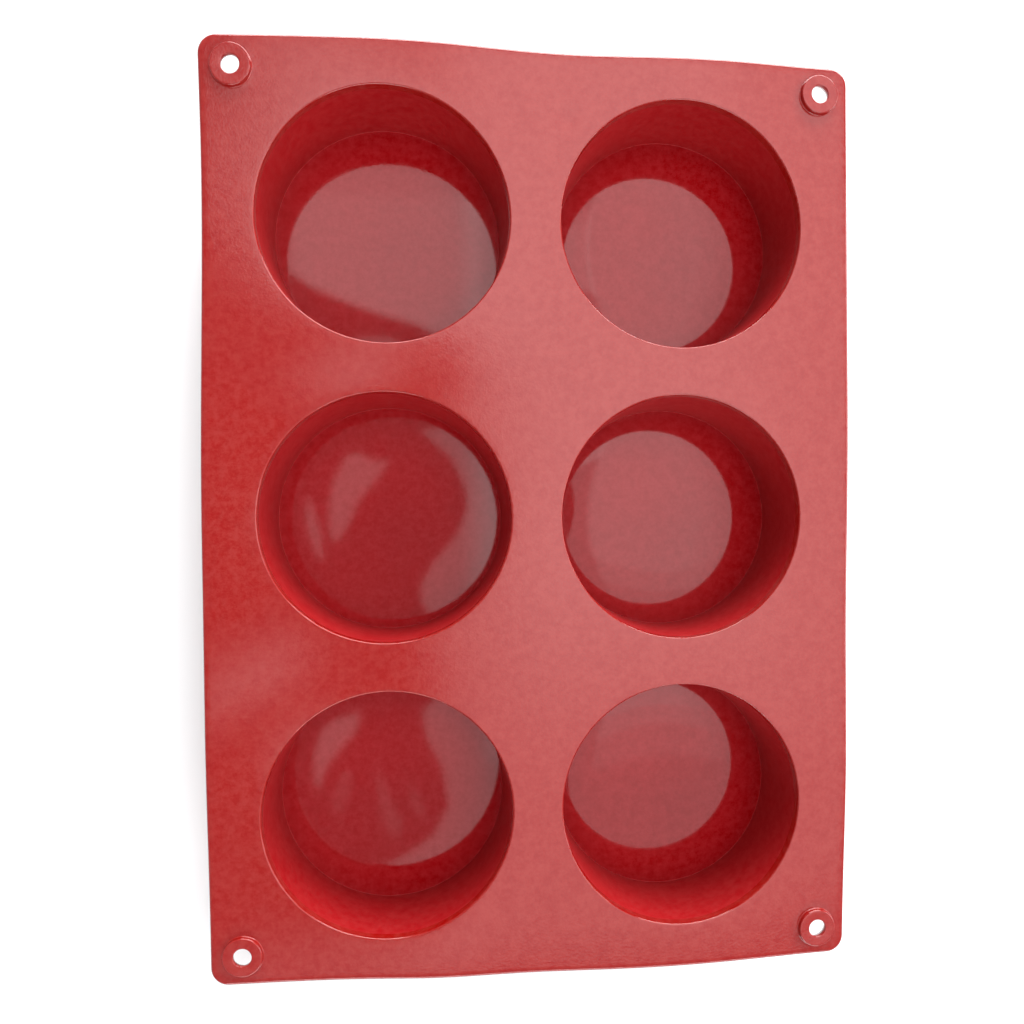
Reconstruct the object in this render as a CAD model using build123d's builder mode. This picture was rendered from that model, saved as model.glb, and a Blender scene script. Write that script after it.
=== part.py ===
from build123d import *
from math import radians, tan
import os

# Silicone soap mould: six round cavities in two columns and three rows, hung from one
# thin deck, with a ring boss around a hole in each corner. Millimetres, +Z up, +Y to
# the back row. The origin is under the mould's centre, on the surface it stands on.
# The real mould is one casting. Its regions are modelled as solids that meet face to
# face, so that the rows can fold up along the two webs of deck between them.

os.makedirs("parts", exist_ok=True)

# Cavities
rim_radius = 35.0  # inside, at the deck's top face
cavity_depth = 25.0  # from the deck's top face to the cavity's floor
draft_angle = 3.0  # degrees, each cavity narrows downwards
wall_thickness = 1.5
floor_thickness = 2.0
base_fillet = 1.2  # around the foot of each cup

# Deck
deck_thickness = 2.0
column_gap = 14.5  # deck between the rims of neighbours in a row
row_gap = 13.7  # deck between the rims of neighbours in a column
side_margin = 14.6  # deck between a rim and the long edge
end_margin = 11.8  # deck between a rim and the short edge
corner_radius = 5.0
rim_fillet = 0.8

# Fold webs
web_clearance = 1.35  # deck between a cup's outer wall and the web

# Corner eyelets
eyelet_hole_radius = 2.5
eyelet_ring_width = 3.0
eyelet_height = 1.4  # above the deck's top face
eyelet_fillet = 0.9
eyelet_side_inset = 8.9  # hole's centre to the long edge
eyelet_end_inset = 8.4  # hole's centre to the short edge

# Heights
deck_top = floor_thickness + cavity_depth
deck_underside = deck_top - deck_thickness

# Plan
column_pitch = 2 * rim_radius + column_gap
row_pitch = 2 * rim_radius + row_gap
deck_width = column_pitch + 2 * (rim_radius + side_margin)
deck_length = 2 * row_pitch + 2 * (rim_radius + end_margin)
web_width = row_gap - 2 * (wall_thickness + web_clearance)
fold_y = row_pitch / 2  # each web's centre line, and the axis of its fold
eyelet_x = deck_width / 2 - eyelet_side_inset
eyelet_y = deck_length / 2 - eyelet_end_inset

columns = {"left": -column_pitch / 2, "right": column_pitch / 2}
rows = {"back": row_pitch, "middle": 0.0, "front": -row_pitch}
panel_spans = {
    "back": (fold_y + web_width / 2, deck_length / 2),
    "middle": (-fold_y + web_width / 2, fold_y - web_width / 2),
    "front": (-deck_length / 2, -fold_y - web_width / 2),
}


def cavity_radius(height):
    """Inside radius of a cavity at a height above the surface that the mould stands on."""
    return rim_radius - (deck_top - height) * tan(radians(draft_angle))


# Deck panels, one to a row, with the mouths of the row's two cavities
for row, row_y in rows.items():
    low_y, high_y = panel_spans[row]
    mouths = [(column_x, row_y, deck_underside + deck_thickness / 2) for column_x in columns.values()]
    outer_y = max(abs(low_y), abs(high_y))
    eyelet_places = [(x, row_y / row_pitch * eyelet_y, deck_top) for x in (-eyelet_x, eyelet_x)]

    with BuildPart() as deck_panel:
        with BuildSketch(Plane.XY.offset(deck_underside)) as outline:
            with Locations((0, (low_y + high_y) / 2)):
                Rectangle(deck_width, high_y - low_y)
            if row != "middle":
                outer_corners = outline.vertices().filter_by(lambda v: abs(v.Y) > outer_y - corner_radius)
                fillet(outer_corners, radius=corner_radius)
        extrude(amount=deck_thickness)
        with Locations(*mouths):
            Cone(
                cavity_radius(deck_underside),
                cavity_radius(deck_top),
                deck_thickness,
                mode=Mode.SUBTRACT,
            )
        rims = deck_panel.edges().filter_by(GeomType.CIRCLE).group_by(Axis.Z)[-1]
        fillet(rims.sort_by(SortBy.RADIUS)[-2:], radius=rim_fillet)
        if row != "middle":
            with Locations(*eyelet_places):
                Hole(radius=eyelet_hole_radius, depth=deck_thickness)
    deck_panel.part.label = f"deck_panel_{row}"
    export_step(deck_panel.part, f"parts/{deck_panel.part.label}.step")

# Fold webs, the strips of deck that bend when an outer row folds up
for row, web_y in {"back": fold_y, "front": -fold_y}.items():
    with BuildPart() as fold_web:
        with BuildSketch(Plane.XY.offset(deck_underside)):
            with Locations((0, web_y)):
                Rectangle(deck_width, web_width)
        extrude(amount=deck_thickness)
    fold_web.part.label = f"fold_web_{row}"
    export_step(fold_web.part, f"parts/{fold_web.part.label}.step")

# Cups: a tapered wall under each mouth, and a floor that the mould stands on
for row, row_y in rows.items():
    for column, column_x in columns.items():
        cup_section = Plane(origin=(column_x, row_y, 0), x_dir=(1, 0, 0), z_dir=(0, -1, 0))
        cup_axis = Axis((column_x, row_y, 0), (0, 0, 1))
        foot_radius = cavity_radius(floor_thickness)
        top_radius = cavity_radius(deck_underside)

        with BuildPart() as cup_wall:
            with BuildSketch(cup_section):
                with BuildLine():
                    Polyline(
                        (foot_radius, floor_thickness),
                        (foot_radius + wall_thickness, floor_thickness),
                        (top_radius + wall_thickness, deck_underside),
                        (top_radius, deck_underside),
                        close=True,
                    )
                make_face()
            revolve(axis=cup_axis)
        cup_wall.part.label = f"cup_wall_{row}_{column}"
        export_step(cup_wall.part, f"parts/{cup_wall.part.label}.step")

        with BuildPart() as cup_floor:
            with BuildSketch(Plane.XY):
                with Locations((column_x, row_y)):
                    Circle(foot_radius + wall_thickness)
            extrude(amount=floor_thickness)
            fillet(cup_floor.edges().group_by(Axis.Z)[0], radius=base_fillet)
        cup_floor.part.label = f"cup_floor_{row}_{column}"
        export_step(cup_floor.part, f"parts/{cup_floor.part.label}.step")

# Corner eyelets, raised rings around the holes in the outer deck panels
for row, hole_y in {"back": eyelet_y, "front": -eyelet_y}.items():
    for column, hole_x in {"left": -eyelet_x, "right": eyelet_x}.items():
        with BuildPart() as eyelet:
            with BuildSketch(Plane.XY.offset(deck_top)):
                with Locations((hole_x, hole_y)):
                    Circle(eyelet_hole_radius + eyelet_ring_width)
                    Circle(eyelet_hole_radius, mode=Mode.SUBTRACT)
            extrude(amount=eyelet_height)
            ring_edges = eyelet.edges().group_by(Axis.Z)[-1].sort_by(SortBy.RADIUS)
            fillet(ring_edges[-1], radius=eyelet_fillet)
        eyelet.part.label = f"eyelet_{row}_{column}"
        export_step(eyelet.part, f"parts/{eyelet.part.label}.step")
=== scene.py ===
from collections import defaultdict
from math import cos, pi, radians, sin, tan

import bpy
import numpy as np
from mathutils import Matrix, Vector
from mathutils.geometry import delaunay_2d_cdt, tessellate_polygon


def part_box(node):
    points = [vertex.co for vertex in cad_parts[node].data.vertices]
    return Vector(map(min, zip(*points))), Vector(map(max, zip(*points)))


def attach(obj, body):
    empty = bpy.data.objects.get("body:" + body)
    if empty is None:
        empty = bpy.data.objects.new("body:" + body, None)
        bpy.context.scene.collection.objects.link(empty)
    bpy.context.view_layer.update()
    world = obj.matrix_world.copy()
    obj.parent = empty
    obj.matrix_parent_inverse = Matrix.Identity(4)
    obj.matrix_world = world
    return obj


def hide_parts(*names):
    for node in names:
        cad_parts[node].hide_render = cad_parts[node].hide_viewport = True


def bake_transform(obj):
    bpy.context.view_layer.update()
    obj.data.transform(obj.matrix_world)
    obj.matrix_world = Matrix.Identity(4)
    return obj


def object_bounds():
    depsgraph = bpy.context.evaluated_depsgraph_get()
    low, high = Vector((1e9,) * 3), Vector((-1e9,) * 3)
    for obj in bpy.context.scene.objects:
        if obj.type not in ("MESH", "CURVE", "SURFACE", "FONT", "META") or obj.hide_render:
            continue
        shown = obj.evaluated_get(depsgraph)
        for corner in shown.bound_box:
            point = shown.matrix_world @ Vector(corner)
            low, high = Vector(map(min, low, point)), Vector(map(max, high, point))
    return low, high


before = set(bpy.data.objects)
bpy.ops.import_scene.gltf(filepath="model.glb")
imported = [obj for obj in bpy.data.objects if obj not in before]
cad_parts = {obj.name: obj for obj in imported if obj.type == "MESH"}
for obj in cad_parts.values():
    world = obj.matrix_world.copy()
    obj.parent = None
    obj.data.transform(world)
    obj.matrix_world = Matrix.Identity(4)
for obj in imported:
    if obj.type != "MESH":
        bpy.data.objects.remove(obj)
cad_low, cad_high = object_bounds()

MM = 0.001

# ---------------------------------------------------------------- sizes
# Read from the frame
deck_low, deck_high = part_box("deck_panel_middle")
deck_under, deck_top = deck_low.z, deck_high.z
half_width = cad_high.x
half_length = cad_high.y
web_low, web_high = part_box("fold_web_back")
seam_y = web_low.y  # the middle piece ends here, and an outer piece begins
floor_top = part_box("cup_floor_middle_left")[1].z
wall_low, wall_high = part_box("cup_wall_middle_left")
eyelet_low, eyelet_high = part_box("eyelet_back_left")
eyelet_radius = (eyelet_high.x - eyelet_low.x) / 2
eyelet_top = eyelet_high.z

# The deck and the cups
draft_angle = radians(3.0)
wall_thickness = 1.5 * MM
rim_round = 0.5 * MM
cove_radius = 0.15 * MM  # inside, between a cavity's wall and its floor
neck_radius = 1.2 * MM  # outside, between a cup and the deck's underside
foot_round = 1.2 * MM
edge_round = 0.9 * MM
corner_radius = 5.0 * MM

# The rings round the corner holes, and the holes
eyelet_round = 0.4 * MM
eyelet_neck = 0.3 * MM
eyelet_dish = 0.04 * MM  # the ring's top face dips towards its hole
hole_radius = 2.5 * MM
hole_lip = 0.3 * MM
hole_flare = 1.0 * MM  # the hole widens by this much on its way to the deck's underside
hole_land = 0.8 * MM  # the height of its narrow part
flared_radius = hole_radius + hole_flare + hole_lip  # the hole's size in the deck's underside

deck_thickness = deck_top - deck_under
deck_middle = (deck_top + deck_under) / 2
rim_radius = (wall_high.x - wall_low.x) / 2 - wall_thickness + deck_thickness * tan(draft_angle)
floor_radius = rim_radius - (deck_top - floor_top) * tan(draft_angle) - cove_radius
# The radius at which a cup's outer neck meets the deck's underside
outer_neck = rim_radius + wall_thickness - (deck_thickness + neck_radius) * tan(draft_angle) + neck_radius

# The cavity floors are domed: how far the middle stands above the edge, and the power of the radius
# that the fall follows
floor_domes = {"left": (0.4 * MM, 2), "right": (1.6 * MM, 4)}
floor_tolerance = 0.01 * MM  # points this little above the floor are part of it

# How finely the mesh is cut: segments round a circle, the deck's grid, and steps along each profile
cup_segments = 160
eyelet_segments = 48
grid_step = 2.0 * MM
corner_steps = 10
edge_steps = 8
rim_steps = 5
wall_steps = 12
cove_steps = 4
floor_steps = 20
neck_steps = 5
outer_wall_steps = 10
foot_steps = 5
base_steps = 14
eyelet_neck_steps = 3
eyelet_side_steps = 1
eyelet_round_steps = 6
dish_steps = 4
lip_steps = 4
land_steps = 2
flare_steps = 3


def centres(kind, rows):
    """The (x, y) centres of the CAD nodes kind_ROW_COLUMN, by row and column."""
    found = {}
    for row in rows:
        for column in ("left", "right"):
            low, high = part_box(f"{kind}_{row}_{column}")
            found[row, column] = ((low.x + high.x) / 2, (low.y + high.y) / 2)
    return found


CUPS = centres("cup_wall", ("back", "middle", "front"))
EYELETS = centres("eyelet", ("back", "front"))

# The soft deck's waves: the x, y and spread of each wave, its rise above the flat CAD deck, and how
# far it moves the deck's free edge along x and y, all in mm
WAVES = (
    (-92, 100, 42, -1.6, 0.7, -1.0),
    (-80, 131, 18, 0.7, -0.2, 0.6),
    (-42, 131, 24, 1.4, -0.1, 1.1),
    (12, 131, 20, -0.5, -0.1, -0.4),
    (48, 131, 24, 0.6, 0.3, 0.5),
    (92, 131, 24, -0.5, -0.4, -0.4),
    (-92, 5, 28, 0.6, -0.2, 0.0),
    (-92, -65, 24, 0.5, -0.2, -0.2),
    (-92, -131, 40, -0.8, 0.3, 0.7),
    (-28, -131, 14, 0.6, 0.0, -0.5),
    (37, -131, 30, 1.1, 0.5, -0.9),
    (92, -131, 22, -0.3, -0.2, 0.3),
    (92, -70, 24, 0.7, 0.5, -0.3),
    (92, 15, 34, 0.6, 0.5, 0.1),
    (9, 112, 2.2, -0.2, 0.0, 0.0),
)
stiff_margin = 11 * MM  # the sideways moves fade away over this distance from a cup's rim


def deck_wave(x, y):
    """The rise and the sideways moves of the deck's surface at x and y, in metres."""
    rise, move_x, move_y = np.zeros_like(x), np.zeros_like(x), np.zeros_like(x)
    for x0, y0, spread, height, shift_x, shift_y in WAVES:
        share = np.exp(-((x / MM - x0) ** 2 + (y / MM - y0) ** 2) / (2 * spread**2)) * MM
        rise += height * share
        move_x += shift_x * share
        move_y += shift_y * share
    free = np.ones_like(x)
    for x0, y0 in CUPS.values():
        gap = np.clip((np.hypot(x - x0, y - y0) - rim_radius) / stiff_margin, 0, 1)
        free *= gap**2 * (3 - 2 * gap)
    return rise, move_x * free, move_y * free


# ---------------------------------------------------------------- mesh building
# The cavity finishes also carry painted light: their silicones below are paler than the deck's.
SATIN, MATT, GLOSS = range(3)  # finishes: the deck and outside, the cavity walls, the cavity floors


class Skin:
    """Points, their finishes and faces, gathered before they become one mesh."""

    def __init__(self):
        self.points = []
        self.finish = []
        self.faces = []
        self.caps = []  # the flat faces in the two cuts across the deck

    def add(self, points, finish=SATIN):
        """Adds points and returns their indices."""
        first = len(self.points)
        self.points += [tuple(p) for p in points]
        self.finish += [finish] * len(points)
        return list(range(first, len(self.points)))

    def add_level(self, places, height, finish=SATIN):
        """Adds the (x, y) places at one height and returns their indices."""
        return self.add(np.column_stack([places, np.full(len(places), height)]), finish)

    def band(self, loop_a, loop_b, closed=True):
        """Quads between two rows of points of equal length."""
        count = len(loop_a)
        for i in range(count if closed else count - 1):
            j = (i + 1) % count
            self.faces.append((loop_a[i], loop_a[j], loop_b[j], loop_b[i]))

    def fan(self, loop, tip):
        """Triangles from a closed loop to the point in its middle."""
        count = len(loop)
        for i in range(count):
            self.faces.append((loop[i], loop[(i + 1) % count], tip))


def circle(centre, radius, segments):
    angles = np.arange(segments) * 2 * pi / segments
    return np.stack([centre[0] + radius * np.cos(angles), centre[1] + radius * np.sin(angles)], 1)


def arc_profile(centre_r, centre_z, radius, start, stop, steps):
    """Points (r, z) along an arc, its first point left out."""
    angles = np.linspace(start, stop, steps + 1)[1:]
    return [(centre_r + radius * cos(a), centre_z + radius * sin(a)) for a in angles]


def line_profile(start, stop, steps):
    """Points (r, z) along a straight line, its first point left out."""
    start, stop = np.array(start), np.array(stop)
    return [tuple(start + (stop - start) * k / steps) for k in range(1, steps + 1)]


def revolve_from(skin, loop, centre, profile, finishes=None):
    """Adds rings that follow profile, joined to each other and to loop, and returns the last ring."""
    for k, (radius, height) in enumerate(profile):
        finish = finishes[k] if finishes else SATIN
        if radius == 0:
            tip = skin.add([(centre[0], centre[1], height)], finish)[0]
            skin.fan(loop, tip)
            return [tip]
        next_loop = skin.add_level(circle(centre, radius, len(loop)), height, finish)
        skin.band(loop, next_loop)
        loop = next_loop
    return loop


def revolve_outside(skin, loop, centre, profile):
    """The outside of a cup: the same rings as revolve_from, with their faces turned outwards."""
    before = len(skin.faces)
    revolve_from(skin, loop, centre, profile)
    skin.faces[before:] = [tuple(reversed(f)) for f in skin.faces[before:]]


def straight(start, stop):
    """Evenly spaced points from start up to stop, stop left out."""
    start, stop = np.array(start, float), np.array(stop, float)
    count = max(2, int(np.ceil(np.linalg.norm(stop - start) / grid_step)))
    return [start + (stop - start) * k / count for k in range(count)]


def corner(centre, start_angle):
    """Points round a deck corner, from start_angle through a quarter turn anticlockwise, end left out."""
    return [
        np.array(centre) + corner_radius * np.array([cos(start_angle + a), sin(start_angle + a)])
        for a in np.linspace(0, pi / 2, corner_steps + 1)[:-1]
    ]


def outline(piece):
    """The piece's free edges as open paths, anticlockwise, each with its outward normals."""
    w, l, r = half_width, half_length, corner_radius
    if piece == "middle":
        paths = []
        for side in (1, -1):
            start, stop = (side * w, -side * seam_y), (side * w, side * seam_y)
            path = np.array(straight(start, stop) + [np.array(stop)])
            paths.append((path, np.tile((float(side), 0.0), (len(path), 1))))
        return paths
    path = straight((w, seam_y), (w, l - r))
    path += corner((w - r, l - r), 0.0)
    path += straight((w - r, l), (-w + r, l))
    path += corner((-w + r, l - r), pi / 2)
    path += straight((-w, l - r), (-w, seam_y)) + [np.array((-w, seam_y))]
    path = np.array(path)
    inner = np.clip(path, (-w + r, 0.0), (w - r, l - r))
    normals = path - inner
    normals /= np.linalg.norm(normals, axis=1)[:, None]
    if piece == "front":
        path, normals = path * (-1, -1), normals * (-1, -1)
    return [(path, normals)]


# The deck's inner points lie on a grid of offset rows. These are shares of grid_step.
row_share = 0.9  # from row to row
first_share = 0.6  # from the border to the first point of a row, and of row_step to the first row
offset_share = 0.5  # every second row starts this much further on
circle_share = 0.4  # the least distance from a circle's points
border_share = 0.5  # the least distance from the border

# Limits of the deck's triangles
flat_area = 1e-14  # twice the area, in square metres, below which a triangle is dropped
weld_distance = 1e-9  # in metres, points closer than this are one point


def past_corner(x, y):
    """Whether a place lies outside the deck's rounded corners, or too close to their edge."""
    r = corner_radius - edge_round
    dx, dy = half_width - edge_round - abs(x), half_length - edge_round - abs(y)
    return dx < r and dy < r and np.hypot(r - dx, r - dy) > r - border_share * grid_step


def grid_places(border_xy, fixed, holes):
    """The grid's (x, y) places inside border_xy that are clear of the fixed points and of the holes."""
    low, high = np.min(border_xy, 0), np.max(border_xy, 0)
    row_step = grid_step * row_share
    places = []
    for j, y in enumerate(np.arange(low[1] + row_step * first_share, high[1], row_step)):
        first_x = low[0] + grid_step * (first_share + offset_share * (j % 2))
        for x in np.arange(first_x, high[0], grid_step):
            if any(np.hypot(x - c[0], y - c[1]) < r + circle_share * grid_step for _, c, r in holes):
                continue
            if np.min(np.abs(fixed - (x, y)).max(1)) <= border_share * grid_step:
                continue
            if not past_corner(x, y):
                places.append((x, y))
    return places


def deck_face(skin, border, circles, height):
    """Triangulates the flat region inside border and outside circles.

    border is (indices, xy points), and each circle is (indices, xy points, centre, radius).
    """
    border_ids, border_xy = border
    points = [Vector(p) for p in border_xy]
    ids = list(border_ids)
    edges = [(i, (i + 1) % len(points)) for i in range(len(points))]
    holes = []
    for loop_ids, loop_xy, centre, radius in circles:
        first = len(points)
        points += [Vector(p) for p in loop_xy]
        ids += list(loop_ids)
        count = len(loop_xy)
        edges += [(first + i, first + (i + 1) % count) for i in range(count)]
        holes.append((set(range(first, first + count)), centre, radius))
    places = grid_places(border_xy, np.array([tuple(p) for p in points]), holes)
    ids += skin.add([(x, y, height) for x, y in places])
    points += [Vector(p) for p in places]
    _, _, triangles, origins, _, _ = delaunay_2d_cdt(points, edges, [], 0, weld_distance)
    up = height > deck_middle
    for triangle in triangles:
        source = [origins[v][0] for v in triangle]
        if any(all(s in ring for s in source) for ring, _, _ in holes):
            continue
        corners = [ids[s] for s in source]
        a, b, c = (np.array(skin.points[k][:2]) for k in corners)
        turn = (b[0] - a[0]) * (c[1] - a[1]) - (b[1] - a[1]) * (c[0] - a[0])
        if abs(turn) < flat_area:
            continue
        if (turn > 0) != up:
            corners.reverse()
        skin.faces.append(tuple(corners))


def inner_profile():
    """A cavity from its rim's rounded edge down to the middle of its floor: (r, z) and finishes."""
    foot = rim_radius - (deck_top - floor_top - cove_radius) * tan(draft_angle)
    cove_z = floor_top + cove_radius
    points = arc_profile(rim_radius + rim_round, deck_top - rim_round, rim_round, pi / 2, pi, rim_steps)
    finishes = [SATIN] * len(points)
    points += line_profile(points[-1], (foot, cove_z), wall_steps)
    points += arc_profile(foot - cove_radius, cove_z, cove_radius, 0, -pi / 2, cove_steps)
    finishes += [MATT] * (len(points) - len(finishes) - 1)
    points += line_profile(points[-1], (0, floor_top), floor_steps)
    finishes += [GLOSS] * (len(points) - len(finishes))
    return points, finishes


def outer_profile():
    """The outside of a cup from the deck's underside down to the middle of its base."""
    foot = rim_radius + wall_thickness - (deck_top - foot_round) * tan(draft_angle)
    points = arc_profile(outer_neck, deck_under - neck_radius, neck_radius, pi / 2, pi, neck_steps)
    points += line_profile(points[-1], (foot, foot_round), outer_wall_steps)
    points += arc_profile(foot - foot_round, foot_round, foot_round, 0, -pi / 2, foot_steps)
    points += line_profile(points[-1], (0, 0), base_steps)
    return points


def eyelet_profile():
    """A corner ring and its hole, from the ring's foot on the deck down to the deck's underside."""
    neck_r, neck_z = eyelet_radius + eyelet_neck, deck_top + eyelet_neck
    round_r, round_z = eyelet_radius - eyelet_round, eyelet_top - eyelet_round
    lip_r, lip_z = hole_radius + hole_lip, eyelet_top - eyelet_dish - hole_lip
    under_z = deck_under + hole_lip
    points = arc_profile(neck_r, neck_z, eyelet_neck, -pi / 2, -pi, eyelet_neck_steps)
    points += line_profile(points[-1], (eyelet_radius, round_z), eyelet_side_steps)
    points += arc_profile(round_r, round_z, eyelet_round, 0, pi / 2, eyelet_round_steps)
    points += line_profile(points[-1], (lip_r, lip_z + hole_lip), dish_steps)
    points += arc_profile(lip_r, lip_z, hole_lip, pi / 2, pi, lip_steps)
    points += line_profile(points[-1], (hole_radius, lip_z - hole_land), land_steps)
    points += line_profile(points[-1], (hole_radius + hole_flare, under_z), flare_steps)
    points += arc_profile(flared_radius, under_z, hole_lip, pi, 3 * pi / 2, lip_steps)
    return points


def build_piece(name):
    """One row of the mould as a closed skin, flat, before the deck's soft shape is laid on it."""
    skin = Skin()

    # The rounded free edge, drawn from the deck's top to its underside
    edges = []
    for path, normals in outline(name):
        rows = []
        for a in np.linspace(pi / 2, -pi / 2, edge_steps + 1):
            height = deck_middle + deck_thickness / 2 * sin(a)
            rows.append(skin.add_level(path - normals * (edge_round * (1 - cos(a))), height))
        for upper, lower in zip(rows, rows[1:]):
            skin.band(lower, upper, closed=False)
        edges.append((rows, path - normals * edge_round))

    # The borders of the deck's top and underside, which are closed by the seams between the free edges
    top_ids, bottom_ids, border_xy = [], [], []
    for k, (rows, border) in enumerate(edges):
        next_rows, next_border = edges[(k + 1) % len(edges)]
        between = np.array(straight(border[-1], next_border[0])[1:])
        upper = skin.add_level(between, deck_top)
        lower = skin.add_level(between, deck_under)
        top_ids += rows[0] + upper
        bottom_ids += rows[-1] + lower
        border_xy += list(border) + list(between)
        first_end = [row[-1] for row in rows]
        last_end = [row[0] for row in next_rows]
        top_line = [first_end[0]] + upper + [last_end[0]]
        bottom_line = [first_end[-1]] + lower + [last_end[-1]]
        for i in range(len(top_line) - 1):
            skin.caps.append((top_line[i], bottom_line[i], bottom_line[i + 1], top_line[i + 1]))
        skin.caps.append(tuple(first_end))
        skin.caps.append(tuple(reversed(last_end)))

    # The cups and the eyelets, and the circles that they leave in the deck's two faces
    top_circles, bottom_circles = [], []
    inside, finishes = inner_profile()
    mouth = rim_radius + rim_round
    for centre in [place for (row, _), place in CUPS.items() if row == name]:
        ring = circle(centre, mouth, cup_segments)
        loop = skin.add_level(ring, deck_top)
        revolve_from(skin, loop, centre, inside, finishes)
        top_circles.append((loop, ring, centre, mouth))
        ring = circle(centre, outer_neck, cup_segments)
        loop = skin.add_level(ring, deck_under)
        revolve_outside(skin, loop, centre, outer_profile())
        bottom_circles.append((loop, ring, centre, outer_neck))
    ring_foot = eyelet_radius + eyelet_neck
    for centre in [place for (row, _), place in EYELETS.items() if row == name]:
        ring = circle(centre, ring_foot, eyelet_segments)
        loop = skin.add_level(ring, deck_top)
        last = revolve_from(skin, loop, centre, eyelet_profile())
        top_circles.append((loop, ring, centre, ring_foot))
        ring = circle(centre, flared_radius, eyelet_segments)
        bottom_circles.append((last, ring, centre, flared_radius))

    deck_face(skin, (top_ids, np.array(border_xy)), top_circles, deck_top)
    deck_face(skin, (bottom_ids, np.array(border_xy)), bottom_circles, deck_under)
    return skin


def lay_down(points):
    """Gives the flat skin the soft deck's waves and the cavity floors their domes."""
    points = np.array(points)
    x, y, z = points.T
    height_share = np.clip((z - floor_top) / (deck_top - floor_top), 0, 1)
    rise, move_x, move_y = deck_wave(x, y)
    points += np.column_stack([move_x, move_y, rise * height_share])
    for (_, column), centre in CUPS.items():
        distance = np.hypot(x - centre[0], y - centre[1])
        on_floor = (distance < floor_radius) & (z < floor_top + floor_tolerance)
        dome, power = floor_domes[column]
        points[on_floor, 2] += dome * (1 - (distance[on_floor] / floor_radius) ** power)
    return points


key_step = 1e-6  # points that round to the same step of this size, in metres, share one normal


def point_normals(points, faces):
    """A key for each point, and the sum of the area-weighted normals of the faces round each key."""
    total = defaultdict(lambda: np.zeros(3))
    keys = [tuple(np.round(p / key_step).astype(int)) for p in points]
    for face in faces:
        a, b, c = points[face[0]], points[face[1]], points[face[2]]
        normal = np.cross(b - a, c - a)
        if len(face) == 4:
            normal = normal + np.cross(c - a, points[face[3]] - a)
        for v in face:
            total[keys[v]] += normal
    return keys, total


skins = {name: build_piece(name) for name in ("middle", "back", "front")}
laid = {name: lay_down(skin.points) for name, skin in skins.items()}
shared = defaultdict(lambda: np.zeros(3))  # the normals of all three pieces, by key
keys_of = {}
for name, skin in skins.items():
    keys_of[name], sums = point_normals(laid[name], skin.faces)
    for key, value in sums.items():
        shared[key] += value


def make_object(name, piece_name):
    """The laid-down skin as an object, smooth all over apart from the flat faces at its seams."""
    skin = skins[name]
    mesh = bpy.data.meshes.new(piece_name)
    mesh.from_pydata([tuple(p) for p in laid[name]], [], skin.faces + skin.caps)
    mesh.validate()
    mesh.update()
    normals = []
    for index, polygon in enumerate(mesh.polygons):
        polygon.use_smooth = True
        polygon.material_index = min(skin.finish[v] for v in polygon.vertices)
        for v in polygon.vertices:
            if index >= len(skin.faces):
                normals.append(tuple(polygon.normal))
            else:
                normal = shared[keys_of[name][v]]
                normals.append(tuple(normal / np.linalg.norm(normal)))
    mesh.normals_split_custom_set(normals)
    obj = bpy.data.objects.new(piece_name, mesh)
    bpy.context.scene.collection.objects.link(obj)
    return obj


# ---------------------------------------------------------------- material
# Each noise is (scale, detail, roughness), and each range is the stretch of it that is drawn out
tint_noise, tint_range = (420, 6, 0.75), (0.38, 0.62)
rough_noise, rough_range = (160, 6, 0.7), (0.35, 0.65)
grain_noise = (1500, 3, 0.6)
grain_strength = 0.12


def silicone(name, dark, light, ior, roughness, unevenness, grain_depth):
    """Deep red silicone rubber with a cloudy tint, patches of more and less gloss, and a fine grain."""
    material = bpy.data.materials.new(name)
    material.use_nodes = True
    nodes, links = material.node_tree.nodes, material.node_tree.links
    shader = nodes["Principled BSDF"]
    shader.inputs["IOR"].default_value = ior
    place = nodes.new("ShaderNodeTexCoord")

    def noise(settings):
        node = nodes.new("ShaderNodeTexNoise")
        for socket, number in zip(("Scale", "Detail", "Roughness"), settings):
            node.inputs[socket].default_value = number
        links.new(place.outputs["Object"], node.inputs["Vector"])
        return node.outputs["Fac"]

    def spread(value, limits, results):
        node = nodes.new("ShaderNodeMapRange")
        for socket, number in zip(("From Min", "From Max", "To Min", "To Max"), (*limits, *results)):
            node.inputs[socket].default_value = number
        links.new(value, node.inputs["Value"])
        return node.outputs["Result"]

    tint = nodes.new("ShaderNodeMix")
    tint.data_type = "RGBA"
    tint.inputs["A"].default_value = (*dark, 1)
    tint.inputs["B"].default_value = (*light, 1)
    links.new(spread(noise(tint_noise), tint_range, (0, 1)), tint.inputs["Factor"])
    links.new(tint.outputs["Result"], shader.inputs["Base Color"])

    roughness_limits = (roughness - unevenness, roughness + unevenness)
    links.new(spread(noise(rough_noise), rough_range, roughness_limits), shader.inputs["Roughness"])

    grain = nodes.new("ShaderNodeBump")
    grain.inputs["Strength"].default_value = grain_strength
    grain.inputs["Distance"].default_value = grain_depth
    links.new(noise(grain_noise), grain.inputs["Height"])
    links.new(grain.outputs["Normal"], shader.inputs["Normal"])
    return material


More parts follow.
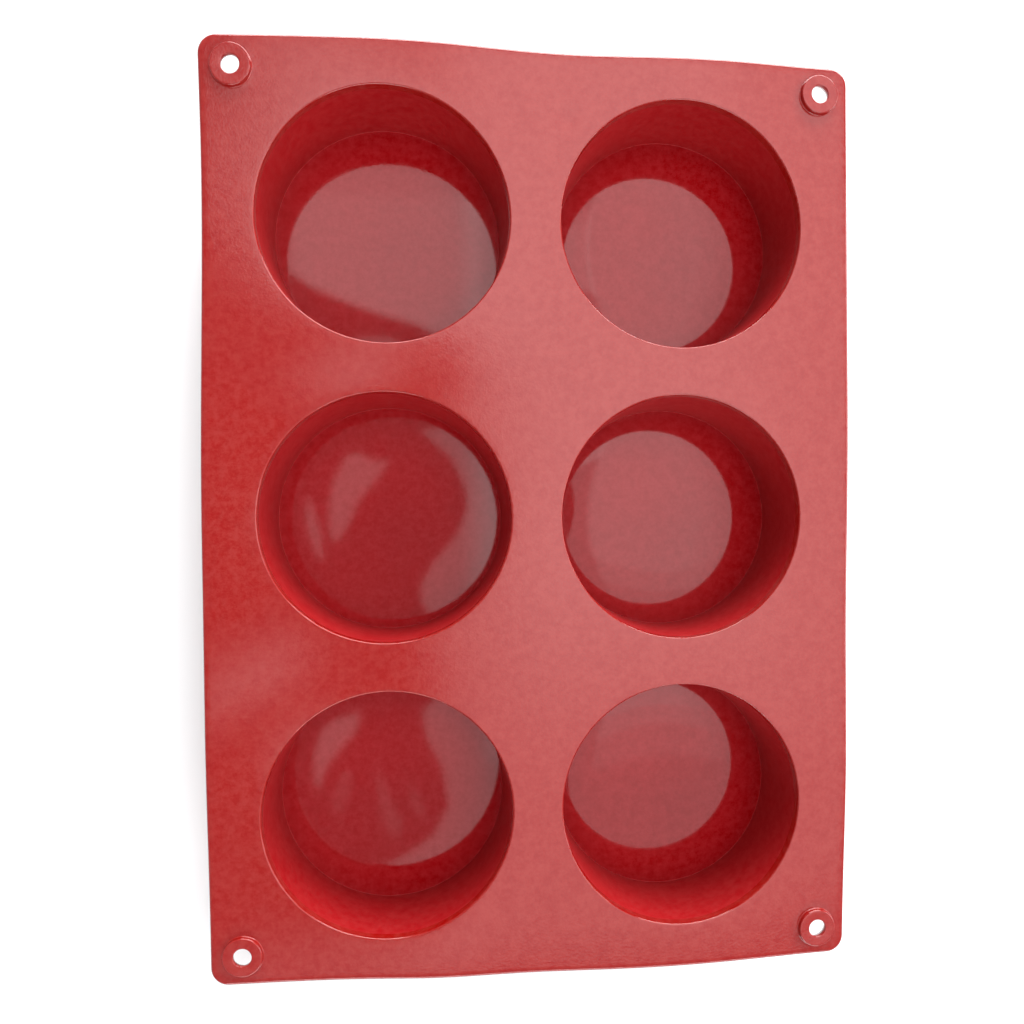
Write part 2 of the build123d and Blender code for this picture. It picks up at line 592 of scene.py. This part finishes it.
# One silicone in three finishes. Their colours carry painted light: the cavity walls and floors get a
# paler red than the deck, which brightens the cavities, and a bluer tint, where the deck gets a warmer
# one.
silicones = (  # in the order of SATIN, MATT and GLOSS
    silicone(
        "red_silicone_satin",
        dark=(0.268, 0.0012, 0.0004),
        light=(0.304, 0.0148, 0.0112),
        ior=1.62,
        roughness=0.09,
        unevenness=0.03,
        grain_depth=0.3 * MM,
    ),
    silicone(
        "red_silicone_matt_painted_light",
        dark=(0.322, 0.0025, 0.0050),
        light=(0.356, 0.0135, 0.0150),
        ior=1.35,
        roughness=0.5,
        unevenness=0.04,
        grain_depth=0.2 * MM,
    ),
    silicone(
        "red_silicone_gloss_painted_light",
        dark=(0.290, 0.0002, 0.0020),
        light=(0.345, 0.0095, 0.0130),
        ior=1.5,
        roughness=0.05,
        unevenness=0.012,
        grain_depth=0.05 * MM,
    ),
)
middle = make_object("middle", "mould_middle_row")
back = make_object("back", "mould_back_row")
front = make_object("front", "mould_front_row")
for piece in (middle, back, front):
    for material in silicones:
        piece.data.materials.append(material)

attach(middle, "middle_row")
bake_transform(back)
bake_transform(front)
for piece, row in ((middle, "middle"), (back, "back"), (front, "front")):
    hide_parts(*(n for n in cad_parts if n.endswith(row) or f"_{row}_" in n))


# ---------------------------------------------------------------- floor, light and camera
def plain_material(name, colour):
    """A dull material of one colour."""
    material = bpy.data.materials.new(name)
    material.use_nodes = True
    shader = material.node_tree.nodes["Principled BSDF"]
    shader.inputs["Base Color"].default_value = (*colour, 1)
    shader.inputs["Roughness"].default_value = 0.9
    shader.inputs["Specular IOR Level"].default_value = 0.2
    return material


def flat_object(name, loops, height, material):
    """A flat sheet of the stage. The first loop is its outline and the others are holes in it."""
    points = [(x, y, height) for loop in loops for x, y in loop]
    triangles = tessellate_polygon([[Vector((x, y, 0)) for x, y in loop] for loop in loops])
    mesh = bpy.data.meshes.new(name)
    mesh.from_pydata(points, [], triangles)
    mesh.materials.append(material)
    obj = bpy.data.objects.new(name, mesh)
    bpy.context.scene.collection.objects.link(obj)
    return obj


# The stage's sizes and places are in metres, unless they say otherwise
floor_half = 3.0  # half the side of the square floor
floor_outline = [(x * floor_half, y * floor_half) for x, y in ((-1, -1), (1, -1), (1, 1), (-1, 1))]
flat_object("floor", [floor_outline], 0.0, plain_material("pale_floor", (0.92, 0.92, 0.92)))

camera_place = Vector((-27.2 * MM, -1.0 * MM, deck_top + 238.2 * MM))
card_rise = 2 * MM  # from the camera up to the card
streak_rise = 1.5 * MM

# A dark card beside the camera, which the glossy silicone mirrors as a shadow. The slots in it let
# the light of the room through. The card's outline and slots are in mm from the camera.
card_outline = (
    (-300, 200), (-128, 178), (-104, 149), (-85, 137), (-60, 126), (-36, 118), (-9, 111), (6, 102),
    (17, 92), (17, 76), (4, 68), (-9, 67), (13, 47), (25, 23), (25, 9), (18, -10), (1, -29), (-9, -46),
    (-9, -60), (-4, -68), (0, -84), (2, -98), (-9, -109), (-6, -130), (5, -150), (10, -180),
    (-1, -202), (-16, -214), (-60, -236), (-100, -240), (-300, -260),
)
card_slots = (
    (
        (-54, 51), (-63, 47), (-72, 29), (-75, 12), (-75, -10), (-70, -16), (-62, -4), (-54, 14),
        (-42, 29), (-30, 45), (-44, 44),
    ),
    (
        (-90, 21), (-92, 0), (-87, -18), (-81, -30), (-79, -27), (-82, -6), (-86, 9),
    ),
    (
        (-54, -108), (-72, -113), (-82, -121), (-88, -138), (-88, -161), (-85, -165), (-78, -147),
        (-66, -133), (-56, -121),
    ),
    (
        (-200, -130), (-130, -87), (-100, -74), (-85, -64), (-62, -67), (-70, -77), (-85, -94),
        (-110, -100), (-135, -122),
    ),
    (
        (-78, 97), (-45, 102), (-26, 101), (-22, 90), (-40, 84), (-62, 84), (-78, 90),
    ),
)
# Three faint strips just below the card, paler than it, also in mm from the camera
card_streaks = (
    (
        (-44, -150), (-38, -157), (-30, -178), (-24, -195), (-28, -205), (-36, -198), (-42, -177),
    ),
    (
        (-68, -151), (-60, -153), (-63, -173), (-73, -185), (-75, -169),
    ),
    (
        (-20, -161), (-16, -165), (-7, -186), (-11, -191), (-18, -178),
    ),
)


def card_sheet(name, loops, rise, material):
    """A sheet beside the camera that only reflections show. Its loops are in mm from the camera."""
    placed = [[(camera_place.x + x * MM, camera_place.y + y * MM) for x, y in loop] for loop in loops]
    obj = flat_object(name, placed, camera_place.z + rise, material)
    obj.visible_camera = False
    obj.visible_diffuse = False
    obj.visible_shadow = False


dark_card = plain_material("dark_card", (0.30, 0.30, 0.30))
pale_strip = plain_material("pale_strip", (0.62, 0.62, 0.62))
card_sheet("dark_card", (card_outline, *card_slots), card_rise, dark_card)
for index, loop in enumerate(card_streaks):
    card_sheet(f"card_streak_{index}", (loop,), streak_rise, pale_strip)


def area_light(name, centre, size, radiance, target=(0, 0, 0)):
    """A rectangular light at centre that faces target. Sizes and places are in metres."""
    light = bpy.data.lights.new(name, "AREA")
    light.shape = "RECTANGLE"
    light.size, light.size_y = size
    light.energy = radiance * pi * size[0] * size[1]
    obj = bpy.data.objects.new(name, light)
    obj.location = centre
    obj.rotation_euler = (Vector(centre) - Vector(target)).to_track_quat("Z", "Y").to_euler()
    bpy.context.scene.collection.objects.link(obj)
    return obj


def softbox(name, low, high, height, radiance):
    """A light that faces straight down from height, over the rectangle from low to high (x, y)."""
    size = (high[0] - low[0], high[1] - low[1])
    centre = ((low[0] + high[0]) / 2, (low[1] + high[1]) / 2, height)
    return area_light(name, centre, size, radiance, (centre[0], centre[1], 0))


softbox("ceiling", (-0.42, -0.73), (0.80, 0.90), 1.16, 1.1)
# Each key light is three softboxes of staggered size, so that no sharp edge shows in the floors. They
# hang at heights of their own, because lights in one plane do not add up in a reflection.
key_steps = 3
for step in range(key_steps):
    rise = 0.005 * step
    near_y = -0.15 - 0.12 * step
    left, divide, right, far = 0.045 + 0.02 * step, 0.44 + 0.06 * step, 0.80, 0.90
    softbox(f"key_right_{step}", (left, near_y), (divide, far), 1.12 + rise, 0.33)
    softbox(f"key_far_right_{step}", (divide, near_y), (right, far), 1.10 + rise, 0.17)
    softbox(f"key_back_{step}", (-0.30, 0.25), (0.08, 0.53 + 0.06 * step), 1.08 + rise, 0.31)
area_light("back_window", (0.35, 1.45, 0.38), (1.8, 0.6), 12.5)
area_light("right_window", (1.5, 0.1, 0.70), (1.2, 0.7), 4.8)
area_light("front_window", (0.1, -1.5, 0.80), (1.4, 0.6), 5.4)
lamp = softbox("lamp", (-0.08, -0.08), (0.12, 0.12), 0.40, 0.9)
lamp.visible_glossy = False  # it brightens the cavities and is not mirrored

world = bpy.data.worlds.new("room")
bpy.context.scene.world = world
world.use_nodes = True
background = world.node_tree.nodes["Background"]
background.inputs["Color"].default_value = (0.95, 0.97, 1.0, 1)
background.inputs["Strength"].default_value = 0.5

sensor_width = 36.0
focal_share = 845 / 1024  # the focal length as a share of the picture's width
camera_data = bpy.data.cameras.new("camera")
camera_data.sensor_width = sensor_width
camera_data.lens = sensor_width * focal_share
camera_data.shift_x = -0.0204
camera_data.shift_y = 0.0322
camera_data.clip_start = 0.01
camera = bpy.data.objects.new("camera", camera_data)
bpy.context.scene.collection.objects.link(camera)
view = Vector((0.10828, -0.02837, -0.99372)).normalized()
picture_up = Vector((0.00747, 0.99959, -0.02773))
picture_right = view.cross(picture_up).normalized()
axes = Matrix((picture_right, picture_right.cross(view), -view)).transposed()
camera.matrix_world = Matrix.Translation(camera_place) @ axes.to_4x4()
bpy.context.scene.camera = camera
bpy.context.scene.view_settings.view_transform = "Standard"

bpy.context.view_layer.update()
